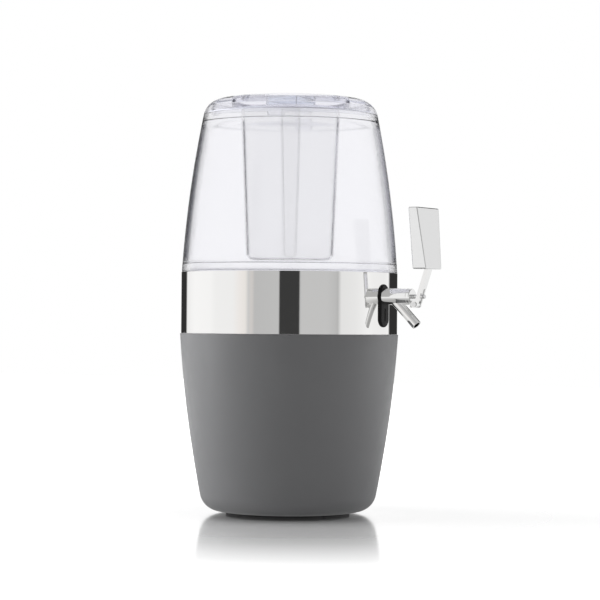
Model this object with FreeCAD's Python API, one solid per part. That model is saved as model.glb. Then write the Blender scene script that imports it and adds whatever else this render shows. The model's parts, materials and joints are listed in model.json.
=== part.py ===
import FreeCAD, Part
import math
import os

# A drink dispenser: a grey stand, a drink tank with a polished band and a clear dome,
# a clear lid, an ice tube that hangs in the drink, and a lever tap at the front.
# Millimetres, +Z up. The origin is on the main axis at the foot plane, and the tap faces -Y.
# Along the tap, u is the distance from the main axis towards -Y.

# Stand
FOOT_PROUD = 2.5
FOOT_R = 61.5
FOOT_WIDTH = 7.0
FOOT_SEAT = 1.0
FOOT_NOTCHES = 3
FOOT_NOTCH_ANGLE = 24.5
FOOT_NOTCH_WIDTH = 5.0
FOOT_NOTCH_DEPTH = 1.6
STAND_HEIGHT = 176.1
RIM_STEP = 0.9
STAND_TOE_R = 84.5
STAND_BULGE = 3.3
STAND_CORNER = 19.5
STAND_WALL = 3.0

# Tank base and its band
BAND_R = 108.0
BAND_T = 0.8
BAND_HEIGHT = 60.9
BAND_GAP = 0.3
BASE_WALL = 3.0
SPIGOT_DEPTH = 8.0
SPIGOT_CLEARANCE = 0.5
FLOOR_T = 3.0

# Clear dome
DOME_HEIGHT = 156.9
DOME_STEP = 0.3
DOME_TOP_R = 87.2
DOME_BULGE = 2.7
DOME_WALL = 3.0
FLANGE_HEIGHT = 8.1
FLANGE_WIDTH = 7.3
DOME_LIP_DEPTH = 5.0
DOME_LIP_WALL = 2.5
LIP_CLEARANCE = 0.3
NECK_LAND = 3.9
NECK_HEIGHT = 8.0
SEAL_WIDTH = 1.6
SEAL_DEPTH = 1.4

# Lid
LID_HEIGHT = 16.0
LID_DRAFT = 3.6
LID_ROUND = 19.5
LID_SIDE = 0.4
LID_WALL = 3.0
PLUG_WALL = 2.5
PLUG_DEPTH = 3.4
PLUG_CLEARANCE = 0.5
LUG_COUNT = 4
LUG_WIDTH = 17.0
LUG_DEPTH = 3.5
LUG_TURN = 22.0
LID_GASKET_T = 1.6
LID_GASKET_CLEARANCE = 0.6
LEDGE_T = 2.5
LEDGE_DROP = 13.9
LEDGE_CLEARANCE = 1.0
COLLAR_WALL = 2.5

# Ice tube
TUBE_TOP_R = 49.0
TUBE_FOOT_R = 43.2
TUBE_WALL = 2.0
TUBE_CORNER = 9.0
TUBE_LENGTH = 149.3
TUBE_FLANGE_WIDTH = 6.5
TUBE_FLANGE_T = 2.5
TUBE_GASKET_WIDTH = 2.0
TUBE_GASKET_DEPTH = 1.0

# Ice cap with its grip and core
CAP_T = 2.5
CAP_WALL = 2.5
CAP_PLUG_DEPTH = 3.4
CAP_PLUG_WALL = 2.5
CAP_PLUG_GAP = 0.8
CAP_RING_HEIGHT = 2.0
CORE_TOP_R = 10.0
CORE_FOOT_R = 6.4
CORE_WALL = 1.5
CORE_TIP_GAP = 1.0
CORE_TIP_FLAT = 0.3
GRIP_X = 40.0
GRIP_Y = 36.0
GRIP_HEIGHT = 11.0
GRIP_WALL = 2.5
GRIP_ROUND = 3.0

# Tap
TAP_DROP = 23.5
TAP_OVER_FLOOR = 18.0
TAP_R = 8.0
TAP_LENGTH = 29.5
SHANK_R = 6.0
SHANK_TAIL = 3.5
SHANK_CLEARANCE = 0.2
INLET_R = 2.8
CHAMBER_R = 5.5
CHAMBER_START = 2.5
TAP_RING_BACK = 2.6
TAP_RING_WIDTH = 0.6
TAP_RING_DEPTH = 0.4
PAD_MARGIN = 1.0
PAD_T = 3.2
WASHER_R = 13.0
WASHER_T = 2.5
NUT_FLATS = 22.0
NUT_T = 6.0
ESCUTCHEON_T = 2.0
ESCUTCHEON_WIDTH = 16.4
ESCUTCHEON_ABOVE = 12.0
ESCUTCHEON_OVER_RIM = 7.4
ESCUTCHEON_ROUND = 1.5
GROOVE_WIDTH = 1.6
GROOVE_LENGTH = 12.0
GROOVE_DEPTH = 0.7
GROOVE_MARGIN = 6.2

# Spout
SPOUT_R = 4.8
SPOUT_ROOT_R = 5.1
SPOUT_BORE_R = 3.5
SPOUT_PASSAGE_R = 3.0
SPOUT_START = 7.5
SPOUT_ROOT = 17.5
SPOUT_REACH = 39.0
SPOUT_ANGLE = 45.0

# Bonnet, stem and spring
BONNET_PLUG = 8.5
BONNET_PLATE_T = 1.0
BONNET_PLATE_R = 7.2
STEM_R = 2.0
STEM_TAIL = 2.2
RUNNING_FIT = 0.05
STEM_SEAL_R = 3.4
STEM_SEAL_T = 2.0
VALVE_R = 4.6
VALVE_T = 4.0
VALVE_SOCKET = 3.0
SPRING_R = 4.1
SPRING_WIRE_R = 0.45
SPRING_TURNS = 6
STEM_PIN_R = 1.0

# Lever and paddle
PIVOT_DROP = 7.5
PIVOT_PIN_R = 1.5
PIN_HEAD_R = 2.4
PIN_HEAD_T = 0.8
SIDE_CLEARANCE = 0.3
TONGUE_WIDTH = 4.0
TONGUE_ROUND = 3.1
FOOT_ROUND = 3.6
FOOT_CLEARANCE = 0.4
CHEEK_T = 2.0
BAR_T = 4.0
BAR_LEAN = 18.6
BAR_OFFSET = 1.43
LEVER_TRAVEL = 25.0
PADDLE_RISE = 33.9
PADDLE_HEIGHT = 59.4
PADDLE_FOOT_WIDTH = 31.5
PADDLE_TOP_WIDTH = 44.5
PADDLE_FOOT_T = 15.2
PADDLE_TOP_T = 10.0
PADDLE_FOOT_BEHIND = 6.7
PADDLE_TOP_BEHIND = 8.6
PADDLE_ROUND = 1.4
TANG_T = 3.0
TANG_LENGTH = 20.0

# Levels and places that follow from the sizes above
UNDERSIDE = FOOT_PROUD
RIM = UNDERSIDE + STAND_HEIGHT
STAND_RIM_R = BAND_R + RIM_STEP
BAND_TOP = RIM + BAND_HEIGHT
BASE_R = BAND_R - BAND_T
BASE_BORE_R = BASE_R - BASE_WALL
TAP_Z = BAND_TOP - TAP_DROP
FLOOR = TAP_Z - TAP_OVER_FLOOR
DOME_TOP = BAND_TOP + DOME_HEIGHT
DOME_FOOT_R = BAND_R - DOME_STEP
NECK_R = DOME_TOP_R - DOME_WALL - NECK_LAND
LID_TOP = DOME_TOP + LID_HEIGHT
LEDGE_TOP = LID_TOP - LEDGE_DROP
TUBE_FLANGE_R = TUBE_TOP_R + TUBE_FLANGE_WIDTH
TUBE_TOP = LEDGE_TOP + TUBE_FLANGE_T
TUBE_FOOT = LEDGE_TOP - TUBE_LENGTH
CAP_FLOOR = TUBE_TOP + CAP_T
TAP_START = BAND_R + ESCUTCHEON_T
TAP_END = TAP_START + TAP_LENGTH
SEAT = TAP_START + CHAMBER_START
BONNET_INNER = TAP_END - BONNET_PLUG
BONNET_FRONT = TAP_END + BONNET_PLATE_T
PAD_R = WASHER_R + PAD_MARGIN
PAD_FACE = BASE_BORE_R - PAD_T
SHANK_END = PAD_FACE - WASHER_T - NUT_T - SHANK_TAIL
PIVOT_U = BONNET_FRONT + FOOT_CLEARANCE + FOOT_ROUND
PIVOT_Z = TAP_Z - PIVOT_DROP
PADDLE_FOOT = PIVOT_Z + PADDLE_RISE
FORK_GAP = TONGUE_WIDTH + 2 * SIDE_CLEARANCE
LEVER_WIDTH = FORK_GAP + 2 * CHEEK_T
BAR_BACK = BAR_OFFSET - BAR_T / 2
BAR_FRONT = BAR_OFFSET + BAR_T / 2
LEAN = math.radians(BAR_LEAN)
OPEN_LEAN = math.radians(BAR_LEAN + LEVER_TRAVEL)
TANG_BACK = PIVOT_U + PADDLE_RISE * math.tan(LEAN) + BAR_BACK / math.cos(LEAN)

UP = FreeCAD.Vector(0, 0, 1)
OUT = FreeCAD.Vector(0, -1, 0)
ACROSS = FreeCAD.Vector(1, 0, 0)


def at(u, z, x=0.0):
    """A point at distance u in front of the main axis, at height z."""
    return FreeCAD.Vector(x, -u, z)


def disc(radius, low, high):
    """An upright cylinder on the main axis."""
    return Part.makeCylinder(radius, high - low, FreeCAD.Vector(0, 0, low), UP)


def ring(outer, inner, low, high):
    return disc(outer, low, high).cut(disc(inner, low, high))


def rod(radius, start, end, z=TAP_Z):
    """A cylinder that points out of the front, from u = start to u = end."""
    return Part.makeCylinder(radius, end - start, at(start, z), OUT)


def cross_rod(radius, u, z, width):
    """A cylinder across the front, centred on the tap's plane."""
    return Part.makeCylinder(radius, width, at(u, z, -width / 2), ACROSS)


def plate(outline, width):
    """A closed outline of (u, z) points, as thick as width across the front."""
    points = [at(u, z, -width / 2) for u, z in outline]
    face = Part.Face(Part.makePolygon(points + points[:1]))
    return face.extrude(ACROSS * width)


def block(width, start, end, low, high):
    """A box across the tap's plane, from u = start to u = end."""
    return plate([(start, low), (end, low), (end, high), (start, high)], width)


def rounded(shape, radius, level, edge_radius):
    """The shape with the circular edge at that level and radius rounded."""
    edges = [
        edge
        for edge in shape.Edges
        if isinstance(edge.Curve, Part.Circle)
        and abs(edge.Curve.Center.z - level) < 1e-6
        and abs(edge.Curve.Radius - edge_radius) < 1e-6
    ]
    return shape.makeFillet(radius, edges)


def barrel(low, low_r, high, high_r, bulge=0.0, low_round=0.0, high_round=0.0):
    """A solid turned about the main axis, with a bowed side and rounded corners."""
    foot = FreeCAD.Vector(low_r, 0, low)
    head = FreeCAD.Vector(high_r, 0, high)
    side = head - foot
    outward = FreeCAD.Vector(side.z, 0, -side.x).normalize()
    if bulge:
        middle = (foot + head) * 0.5 + outward * bulge
        flank = Part.Arc(foot, middle, head).toShape()
    else:
        flank = Part.makeLine(foot, head)
    axis_low = FreeCAD.Vector(0, 0, low)
    axis_high = FreeCAD.Vector(0, 0, high)
    edges = [
        Part.makeLine(axis_low, foot),
        flank,
        Part.makeLine(head, axis_high),
        Part.makeLine(axis_high, axis_low),
    ]
    solid = Part.Face(Part.Wire(edges)).revolve(FreeCAD.Vector(0, 0, 0), UP, 360)
    if low_round:
        solid = rounded(solid, low_round, low, low_r)
    if high_round:
        solid = rounded(solid, high_round, high, high_r)
    return solid


def flank_r(level, low, low_r, high, high_r, bulge):
    """The radius of a barrel's bowed side at a level."""
    rise = high - low
    half = math.hypot(rise, high_r - low_r) / 2
    bow_r = (half * half + bulge * bulge) / (2 * bulge)
    back = (bow_r - bulge) / (2 * half)
    centre_r = (low_r + high_r) / 2 - rise * back
    centre_z = (low + high) / 2 + (high_r - low_r) * back
    return centre_r + math.sqrt(bow_r * bow_r - (level - centre_z) ** 2)


def stand_shell():
    outer = barrel(UNDERSIDE, STAND_TOE_R, RIM, STAND_RIM_R, STAND_BULGE, STAND_CORNER)
    inner = barrel(
        UNDERSIDE + STAND_WALL,
        STAND_TOE_R - STAND_WALL,
        RIM,
        STAND_RIM_R - STAND_WALL,
        STAND_BULGE,
        STAND_CORNER - STAND_WALL,
    )
    seat = ring(FOOT_R, FOOT_R - FOOT_WIDTH, UNDERSIDE, UNDERSIDE + FOOT_SEAT)
    return outer.cut(inner).cut(seat)


def foot_ring():
    foot = ring(FOOT_R, FOOT_R - FOOT_WIDTH, 0, UNDERSIDE + FOOT_SEAT)
    reach = 2 * FOOT_NOTCH_DEPTH
    for step in range(FOOT_NOTCHES):
        notch = Part.makeBox(
            FOOT_NOTCH_WIDTH,
            reach,
            UNDERSIDE,
            FreeCAD.Vector(-FOOT_NOTCH_WIDTH / 2, -FOOT_R - reach + FOOT_NOTCH_DEPTH, 0),
        )
        turn = 360.0 * step / FOOT_NOTCHES - FOOT_NOTCH_ANGLE
        notch.rotate(FreeCAD.Vector(0, 0, 0), UP, turn)
        foot = foot.cut(notch)
    return foot


def spigot_r():
    """The outside of the tank's spigot, which drops into the stand's mouth."""
    mouth_r = flank_r(
        RIM - SPIGOT_DEPTH,
        UNDERSIDE + STAND_WALL,
        STAND_TOE_R - STAND_WALL,
        RIM,
        STAND_RIM_R - STAND_WALL,
        STAND_BULGE,
    )
    return mouth_r - SPIGOT_CLEARANCE


def tank_base():
    spigot_bore = spigot_r() - BASE_WALL
    wall = disc(BASE_R, RIM, BAND_TOP).fuse(disc(spigot_r(), RIM - SPIGOT_DEPTH, RIM))
    under = disc(spigot_bore, RIM - SPIGOT_DEPTH, FLOOR - FLOOR_T)
    base = wall.cut(under).cut(disc(BASE_BORE_R, FLOOR, BAND_TOP))
    pad = rod(PAD_R, PAD_FACE, BASE_R - BASE_WALL / 2)
    seal_r = BASE_R - BASE_WALL / 2 + SEAL_WIDTH / 2
    groove = ring(seal_r, seal_r - SEAL_WIDTH, BAND_TOP - SEAL_DEPTH, BAND_TOP)
    base = base.fuse(pad).cut(groove)
    return base.cut(rod(SHANK_R + SHANK_CLEARANCE, PAD_FACE - 1, BAND_R))


def dome_seal():
    outer = BASE_R - BASE_WALL / 2 + SEAL_WIDTH / 2
    return ring(outer, outer - SEAL_WIDTH, BAND_TOP - SEAL_DEPTH, BAND_TOP)


def chrome_band():
    band = ring(BAND_R, BASE_R, RIM + BAND_GAP, BAND_TOP)
    return band.cut(rod(SHANK_R + SHANK_CLEARANCE, PAD_FACE, BAND_R + 1))


def clear_dome():
    outer = barrel(BAND_TOP, DOME_FOOT_R, DOME_TOP, DOME_TOP_R, DOME_BULGE)
    inner = barrel(
        BAND_TOP, DOME_FOOT_R - DOME_WALL, DOME_TOP, DOME_TOP_R - DOME_WALL, DOME_BULGE
    )
    flange_bore = DOME_FOOT_R - FLANGE_WIDTH
    flange = ring(DOME_FOOT_R + DOME_BULGE, flange_bore, BAND_TOP, BAND_TOP + FLANGE_HEIGHT)
    neck = ring(DOME_FOOT_R, NECK_R, DOME_TOP - NECK_HEIGHT, DOME_TOP)
    lands = outer.common(flange).fuse(outer.common(neck))
    lip_r = BASE_BORE_R - LIP_CLEARANCE
    lip = ring(lip_r, lip_r - DOME_LIP_WALL, BAND_TOP - DOME_LIP_DEPTH, BAND_TOP)
    return outer.cut(inner).fuse([lands, lip]).removeSplitter()


def lid_collar_r():
    """The inside of the collar that the ice cap drops into."""
    return TUBE_FLANGE_R + LEDGE_CLEARANCE


def shoulder_round(height, draft):
    """The largest round that leaves the foot of a leaning side straight."""
    side = math.hypot(height, draft) - LID_SIDE
    turn = math.pi / 2 - math.atan2(draft, height)
    return side / math.tan(turn / 2)


def lid_cover():
    top_r = DOME_TOP_R - LID_DRAFT
    inner_height = LID_HEIGHT - LID_WALL
    shoulder = min(
        LID_ROUND,
        shoulder_round(LID_HEIGHT, LID_DRAFT),
        shoulder_round(inner_height, LID_DRAFT) + LID_WALL,
    )
    outer = barrel(DOME_TOP, DOME_TOP_R, LID_TOP, top_r, high_round=shoulder)
    inner = barrel(
        DOME_TOP,
        DOME_TOP_R - LID_WALL,
        DOME_TOP + inner_height,
        top_r - LID_WALL,
        high_round=shoulder - LID_WALL,
    )
    collar_r = lid_collar_r()
    plug_r = NECK_R - PLUG_CLEARANCE
    lid = outer.cut(inner)
    plug = ring(plug_r, plug_r - PLUG_WALL, DOME_TOP - PLUG_DEPTH, LID_TOP)
    collar = ring(collar_r + COLLAR_WALL, collar_r, LEDGE_TOP - LEDGE_T, LID_TOP)
    ledge = ring(
        collar_r + COLLAR_WALL,
        TUBE_TOP_R + LEDGE_CLEARANCE,
        LEDGE_TOP - LEDGE_T,
        LEDGE_TOP,
    )
    inside = outer.fuse(disc(plug_r, DOME_TOP - PLUG_DEPTH, DOME_TOP))
    lid = lid.cut(disc(collar_r, DOME_TOP, LID_TOP))
    lid = lid.fuse([plug.common(inside), collar, ledge, lid_lugs(plug_r)])
    return lid.removeSplitter()


def lid_lugs(plug_r):
    """Tabs that lengthen the plug, spread round its rim."""
    low = DOME_TOP - PLUG_DEPTH - LUG_DEPTH
    band = ring(plug_r, plug_r - PLUG_WALL, low, DOME_TOP - PLUG_DEPTH)
    lugs = []
    for step in range(LUG_COUNT):
        bar = Part.makeBox(
            LUG_WIDTH, 2 * plug_r, LUG_DEPTH, FreeCAD.Vector(-LUG_WIDTH / 2, 0, low)
        )
        turn = LUG_TURN + 360.0 * step / LUG_COUNT
        bar.rotate(FreeCAD.Vector(0, 0, 0), UP, turn)
        lugs.append(band.common(bar))
    return Part.makeCompound(lugs)


def lid_gasket():
    draft = LID_DRAFT * LID_GASKET_T / (LID_HEIGHT - LID_WALL)
    outer = DOME_TOP_R - LID_WALL - draft - LID_GASKET_CLEARANCE
    return ring(outer, NECK_R - PLUG_CLEARANCE, DOME_TOP, DOME_TOP + LID_GASKET_T)


def ice_tube():
    outer = barrel(TUBE_FOOT, TUBE_FOOT_R, LEDGE_TOP, TUBE_TOP_R, low_round=TUBE_CORNER)
    inner = barrel(
        TUBE_FOOT + TUBE_WALL,
        TUBE_FOOT_R - TUBE_WALL,
        LEDGE_TOP,
        TUBE_TOP_R - TUBE_WALL,
        low_round=TUBE_CORNER - TUBE_WALL,
    )
    bore = TUBE_TOP_R - TUBE_WALL
    flange = ring(TUBE_FLANGE_R, bore, LEDGE_TOP, TUBE_TOP)
    return outer.cut(inner).fuse(flange).cut(tube_gasket()).removeSplitter()


def tube_gasket():
    """A face seal let into the underside of the tube's flange."""
    middle = (TUBE_TOP_R + LEDGE_CLEARANCE + TUBE_FLANGE_R) / 2
    return ring(
        middle + TUBE_GASKET_WIDTH / 2,
        middle - TUBE_GASKET_WIDTH / 2,
        LEDGE_TOP,
        LEDGE_TOP + TUBE_GASKET_DEPTH,
    )


def cap_plug_r():
    return TUBE_TOP_R - TUBE_WALL - CAP_PLUG_GAP


def ice_cap():
    dish = disc(TUBE_FLANGE_R, TUBE_TOP, LID_TOP)
    dish = dish.cut(disc(TUBE_FLANGE_R - CAP_WALL, CAP_FLOOR, LID_TOP))
    plug_r = cap_plug_r()
    plug = ring(plug_r, plug_r - CAP_PLUG_WALL, TUBE_TOP - CAP_PLUG_DEPTH, TUBE_TOP)
    return dish.fuse(plug).cut(cap_ring()).removeSplitter()


def cap_ring():
    """The seal round the cap's plug, which runs in the mouth of the ice tube."""
    middle = TUBE_TOP - TUBE_FLANGE_T / 2
    return ring(
        TUBE_TOP_R - TUBE_WALL - RUNNING_FIT,
        cap_plug_r() - CAP_PLUG_WALL / 2,
        middle - CAP_RING_HEIGHT / 2,
        middle + CAP_RING_HEIGHT / 2,
    )


def ice_core():
    """The hollow finger that hangs from the cap to the bottom of the ice tube."""
    foot = TUBE_FOOT + TUBE_WALL + CORE_TIP_GAP
    tip = CORE_FOOT_R - CORE_TIP_FLAT
    outer = barrel(foot, CORE_FOOT_R, TUBE_TOP, CORE_TOP_R, low_round=tip)
    inner = barrel(
        foot + CORE_WALL,
        CORE_FOOT_R - CORE_WALL,
        TUBE_TOP,
        CORE_TOP_R - CORE_WALL,
        low_round=tip - CORE_WALL,
    )
    return outer.cut(inner)


def grip_block():
    def box(x, y, low, high, radius):
        corner = FreeCAD.Vector(-x / 2, -y / 2, low)
        solid = Part.makeBox(x, y, high - low, corner)
        upright = [e for e in solid.Edges if abs(e.Length - (high - low)) < 1e-6]
        upright = [e for e in upright if e.BoundBox.ZLength > 1e-3]
        return solid.makeFillet(radius, upright)

    outer = box(GRIP_X, GRIP_Y, CAP_FLOOR, CAP_FLOOR + GRIP_HEIGHT, GRIP_ROUND)
    inner = box(
        GRIP_X - 2 * GRIP_WALL,
        GRIP_Y - 2 * GRIP_WALL,
        CAP_FLOOR,
        CAP_FLOOR + GRIP_HEIGHT - GRIP_WALL,
        max(GRIP_ROUND - GRIP_WALL, 0.5),
    )
    return outer.cut(inner)


def tap_escutcheon():
    """The oval backing plate, whose back follows the band."""
    half = ESCUTCHEON_WIDTH / 2
    high = TAP_Z + ESCUTCHEON_ABOVE - half
    low = RIM + ESCUTCHEON_OVER_RIM + half
    start = BASE_BORE_R
    oval = rod(half, start, TAP_START, high).fuse(rod(half, start, TAP_START, low))
    oval = oval.fuse(block(ESCUTCHEON_WIDTH, start, TAP_START, low, high)).removeSplitter()
    front = [
        edge
        for edge in oval.Edges
        if abs(edge.BoundBox.YMin + TAP_START) < 1e-6
        and abs(edge.BoundBox.YMax + TAP_START) < 1e-6
    ]
    oval = oval.makeFillet(ESCUTCHEON_ROUND, front)
    groove_low = low - half + GROOVE_MARGIN
    groove = block(
        GROOVE_WIDTH,
        TAP_START - GROOVE_DEPTH,
        TAP_START,
        groove_low,
        groove_low + GROOVE_LENGTH,
    )
    band = disc(BAND_R, RIM, BAND_TOP)
    hole = rod(SHANK_R + SHANK_CLEARANCE, start, TAP_START)
    return oval.cut([band, groove, hole])


def spout_axis(distance):
    """A point on the spout's axis, measured from where it leaves the tap's axis."""
    angle = math.radians(SPOUT_ANGLE)
    return at(
        TAP_START + SPOUT_START + distance * math.cos(angle),
        TAP_Z - distance * math.sin(angle),
    )


def spout_rod(radius, start, end):
    along = spout_axis(1) - spout_axis(0)
    return Part.makeCylinder(radius, end - start, spout_axis(start), along)


def spout_blank():
    """The spout without its bore: a root that narrows out of the body, and a straight tube."""
    along = spout_axis(1) - spout_axis(0)
    root = Part.makeCone(SPOUT_ROOT_R, SPOUT_R, SPOUT_ROOT, spout_axis(0), along)
    return root.fuse(spout_rod(SPOUT_R, SPOUT_ROOT, SPOUT_REACH))


def tap_body():
    body = rod(TAP_R, TAP_START, TAP_END)
    body = body.fuse(rod(SHANK_R, SHANK_END, TAP_START))
    body = body.cut(rod(INLET_R, SHANK_END, SEAT))
    body = body.cut(rod(CHAMBER_R, SEAT, TAP_END)).cut(spout_blank())
    ring_end = TAP_END - TAP_RING_BACK
    ring_start = ring_end - TAP_RING_WIDTH
    groove = rod(TAP_R, ring_start, ring_end).cut(
        rod(TAP_R - TAP_RING_DEPTH, ring_start, ring_end)
    )
    return body.cut(groove)


def spout_tube():
    passage = spout_rod(SPOUT_PASSAGE_R, 0, SPOUT_ROOT)
    bore = spout_rod(SPOUT_BORE_R, SPOUT_ROOT, SPOUT_REACH)
    return spout_blank().cut([passage, bore, rod(CHAMBER_R, SEAT, TAP_END)])


def tap_washer():
    washer = rod(WASHER_R, PAD_FACE - WASHER_T, PAD_FACE)
    return washer.cut(rod(SHANK_R + SHANK_CLEARANCE, PAD_FACE - WASHER_T, PAD_FACE))


def tap_nut():
    front = PAD_FACE - WASHER_T
    corner_r = NUT_FLATS / math.sqrt(3)
    corners = []
    for step in range(6):
        turn = math.radians(60 * step)
        corners.append(at(front, TAP_Z + corner_r * math.sin(turn), corner_r * math.cos(turn)))
    face = Part.Face(Part.makePolygon(corners + corners[:1]))
    return face.extrude(OUT * -NUT_T).cut(rod(SHANK_R, front - NUT_T, front))


def tap_bonnet():
    """The end cap of the tap, with the tongue that carries the lever's pin."""
    bonnet = rod(CHAMBER_R, BONNET_INNER, TAP_END)
    bonnet = bonnet.fuse(rod(BONNET_PLATE_R, TAP_END, BONNET_FRONT))
    yoke_low = PIVOT_Z - TONGUE_ROUND
    bonnet = bonnet.fuse(block(LEVER_WIDTH, TAP_END, BONNET_FRONT, yoke_low, TAP_Z))
    tongue = block(TONGUE_WIDTH, TAP_END, PIVOT_U, yoke_low, PIVOT_Z + TONGUE_ROUND)
    tongue = tongue.fuse(cross_rod(TONGUE_ROUND, PIVOT_U, PIVOT_Z, TONGUE_WIDTH))
    bonnet = bonnet.fuse(tongue).cut(rod(STEM_R + RUNNING_FIT, BONNET_INNER, PIVOT_U))
    bonnet = bonnet.cut(rod(STEM_SEAL_R, BONNET_INNER, BONNET_INNER + STEM_SEAL_T))
    pin_hole = cross_rod(PIVOT_PIN_R, PIVOT_U, PIVOT_Z, TONGUE_WIDTH)
    return bonnet.cut(pin_hole).removeSplitter()


def stem_seal():
    end = BONNET_INNER + STEM_SEAL_T
    return rod(STEM_SEAL_R, BONNET_INNER, end).cut(rod(STEM_R + RUNNING_FIT, BONNET_INNER, end))


def lever_pin():
    reach = LEVER_WIDTH + 2 * SIDE_CLEARANCE
    pin = cross_rod(PIVOT_PIN_R, PIVOT_U, PIVOT_Z, reach)
    heads = cross_rod(PIN_HEAD_R, PIVOT_U, PIVOT_Z, reach + 2 * PIN_HEAD_T)
    heads = heads.cut(cross_rod(PIN_HEAD_R, PIVOT_U, PIVOT_Z, reach))
    return pin.fuse(heads).removeSplitter()


def biarc(start, start_way, end, end_way):
    """Two arcs that join two points and keep both directions."""
    chord = end - start
    ways = start_way + end_way
    spread = 2 * (1 - start_way.dot(end_way))
    along = chord.dot(ways)
    reach = (math.sqrt(along * along + spread * chord.dot(chord)) - along) / spread
    first = start + start_way * reach
    second = end - end_way * reach
    middle = (first + second) * 0.5
    return [arc_by_corner(start, first, middle), arc_by_corner(middle, second, end)]


def arc_by_corner(start, corner, end):
    """The arc from start to end that is tangent to both lines through the corner."""
    centre = (start + end) * 0.5
    rise = corner - centre
    half = (end - start).Length / 2
    sag = half * math.tan(math.atan2(rise.Length, half) / 2)
    return Part.Arc(start, centre + rise.normalize() * sag, end).toShape()


def valve_spring():
    """A compression spring round the stem, ground flat at both ends."""
    start = SEAT + VALVE_T
    length = BONNET_INNER - start
    pitch = length / SPRING_TURNS
    rise = pitch / (2 * math.pi)

    def point(turn):
        u = start + rise * turn
        return at(u, TAP_Z + SPRING_R * math.sin(turn), SPRING_R * math.cos(turn))

    def way(turn):
        step = FreeCAD.Vector(
            -SPRING_R * math.sin(turn), -rise, SPRING_R * math.cos(turn)
        )
        return step.normalize()

    edges = []
    for quarter in range(-1, 4 * SPRING_TURNS + 1):
        low = quarter * math.pi / 2
        high = low + math.pi / 2
        edges += biarc(point(low), way(low), point(high), way(high))
    path = Part.Wire(edges)
    first = -math.pi / 2
    section = Part.Wire(Part.makeCircle(SPRING_WIRE_R, point(first), way(first)))
    coil = path.makePipeShell([section], True, False)
    print("spring: gap between turns", round(pitch - 2 * SPRING_WIRE_R, 3), "mm")
    return coil.common(rod(CHAMBER_R, start, BONNET_INNER))


def stem_pin_u():
    """Where the stem's cross pin lies against the lever's front at rest."""
    reach = BAR_FRONT + STEM_PIN_R + RUNNING_FIT
    return PIVOT_U + PIVOT_DROP * math.tan(LEAN) + reach / math.cos(LEAN)


def valve_stem():
    start = SEAT + VALVE_T - VALVE_SOCKET
    stem = rod(STEM_R, start, stem_pin_u() + STEM_TAIL)
    return stem.cut(stem_pin())


def stem_pin():
    return cross_rod(STEM_PIN_R, stem_pin_u(), TAP_Z, LEVER_WIDTH)


def valve_plug():
    end = SEAT + VALVE_T
    return rod(VALVE_R, SEAT, end).cut(rod(STEM_R, end - VALVE_SOCKET, end))


def along_lever(distance, forward):
    """A point up the leaning lever from its pivot, moved forward of the pivot."""
    u = PIVOT_U + distance * math.sin(LEAN) + forward * math.cos(LEAN)
    z = PIVOT_Z + distance * math.cos(LEAN) - forward * math.sin(LEAN)
    return u, z


def fork_rise():
    """How far up the lever the fork reaches, to clear the stem when the tap is open."""
    stem_top = PIVOT_DROP + STEM_R + SIDE_CLEARANCE
    return (stem_top + BAR_FRONT * math.sin(OPEN_LEAN)) / math.cos(OPEN_LEAN)


def lever_strip(start, end, back, front, width):
    """A block that leans with the lever, between two distances from its pivot."""
    outline = [
        along_lever(start, back),
        along_lever(start, front),
        along_lever(end, front),
        along_lever(end, back),
    ]
    return plate(outline, width)


def lever_bar():
    length = (PADDLE_RISE + BAR_FRONT * math.sin(LEAN)) / math.cos(LEAN)
    top = PADDLE_FOOT + TANG_LENGTH
    bar = lever_strip(0, length, BAR_BACK, BAR_FRONT, LEVER_WIDTH)
    bar = bar.cut(block(LEVER_WIDTH, PIVOT_U, PIVOT_U + length, PADDLE_FOOT, top))
    bar = bar.fuse(cross_rod(FOOT_ROUND, PIVOT_U, PIVOT_Z, LEVER_WIDTH))
    bar = bar.cut(cross_rod(PIVOT_PIN_R + RUNNING_FIT, PIVOT_U, PIVOT_Z, LEVER_WIDTH))
    slot = lever_strip(-length, fork_rise(), -length, length, FORK_GAP)
    tang = block(LEVER_WIDTH, TANG_BACK, TANG_BACK + TANG_T, PADDLE_FOOT, top)
    return bar.cut(slot).fuse(tang).removeSplitter()


def paddle_section(behind, thickness, width, level):
    back = TANG_BACK - behind
    corners = [
        at(back, level, -width / 2),
        at(back + thickness, level, -width / 2),
        at(back + thickness, level, width / 2),
        at(back, level, width / 2),
    ]
    return Part.makePolygon(corners + corners[:1])


def lever_paddle():
    top = PADDLE_FOOT + PADDLE_HEIGHT
    low = paddle_section(PADDLE_FOOT_BEHIND, PADDLE_FOOT_T, PADDLE_FOOT_WIDTH, PADDLE_FOOT)
    high = paddle_section(PADDLE_TOP_BEHIND, PADDLE_TOP_T, PADDLE_TOP_WIDTH, top)
    paddle = Part.makeLoft([low, high], True, True)
    paddle = paddle.makeFillet(PADDLE_ROUND, paddle.Edges)
    return paddle.cut(lever_bar())


PIECES = [
    stand_shell,
    foot_ring,
    tank_base,
    chrome_band,
    dome_seal,
    clear_dome,
    lid_cover,
    lid_gasket,
    ice_tube,
    tube_gasket,
    ice_cap,
    cap_ring,
    ice_core,
    grip_block,
    tap_escutcheon,
    tap_body,
    spout_tube,
    tap_washer,
    tap_nut,
    tap_bonnet,
    stem_seal,
    lever_pin,
    valve_spring,
    valve_stem,
    stem_pin,
    valve_plug,
    lever_bar,
    lever_paddle,
]

os.makedirs("parts", exist_ok=True)
for piece in PIECES:
    piece().exportStep(f"parts/{piece.__name__}.step")
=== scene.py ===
import json
import math

import bmesh
import bpy
from mathutils import Matrix, Vector


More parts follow.
